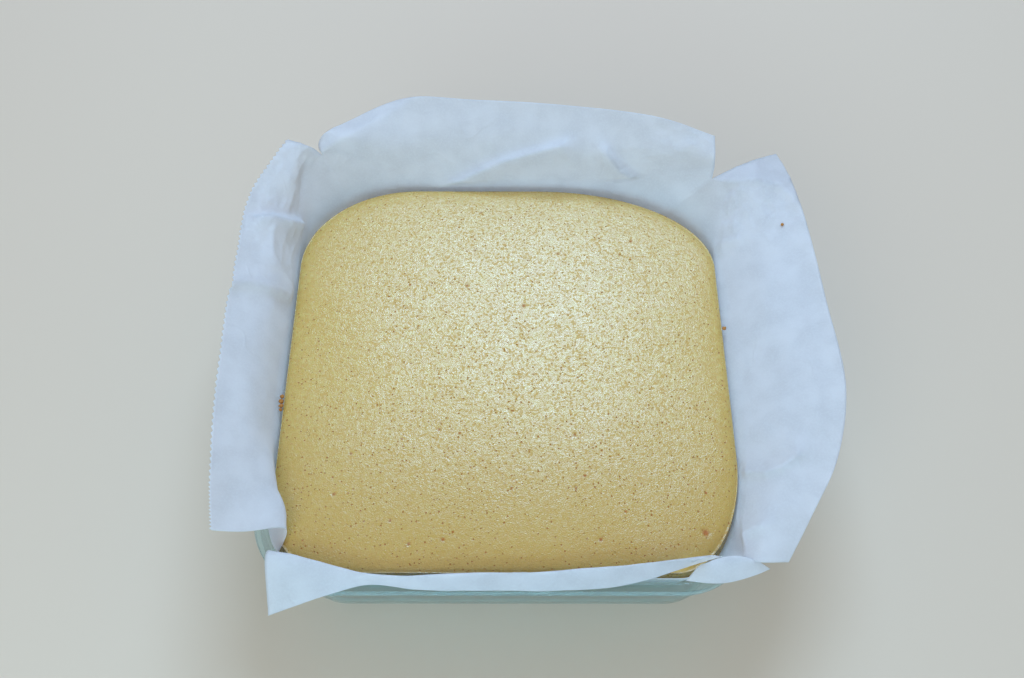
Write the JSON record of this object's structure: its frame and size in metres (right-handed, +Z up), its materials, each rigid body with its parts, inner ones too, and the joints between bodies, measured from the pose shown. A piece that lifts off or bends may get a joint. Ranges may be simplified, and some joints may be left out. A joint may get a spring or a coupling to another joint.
{
  "type": "castella sponge cake in a baking dish",
  "caption": "Square castella sponge cake, uncut, with a smooth domed golden top, in a clear glass baking dish lined with slit baking paper that flares over the rim.",
  "frame": {"origin": "centre of the flat underside of the glass dish, on the surface that it stands on", "axes": "+Z up; +X to the right and +Y away from the viewer who faces the folded-down front flap of the paper"},
  "size_m": [0.2545, 0.2282, 0.0862],
  "materials": {
    "glass": "clear pressed glass with a faint blue-green tint at its edges",
    "paper": "translucent white baking paper, matt with a slight sheen, lightly creased",
    "cake": "pale golden sponge skin, slightly glossy, with fine bumps and small brown pores"
  },
  "bodies": {
    "root": {"glass_dish": "glass", "baking_paper": "paper", "sponge_cake": "cake"}
  },
  "joints": []
}
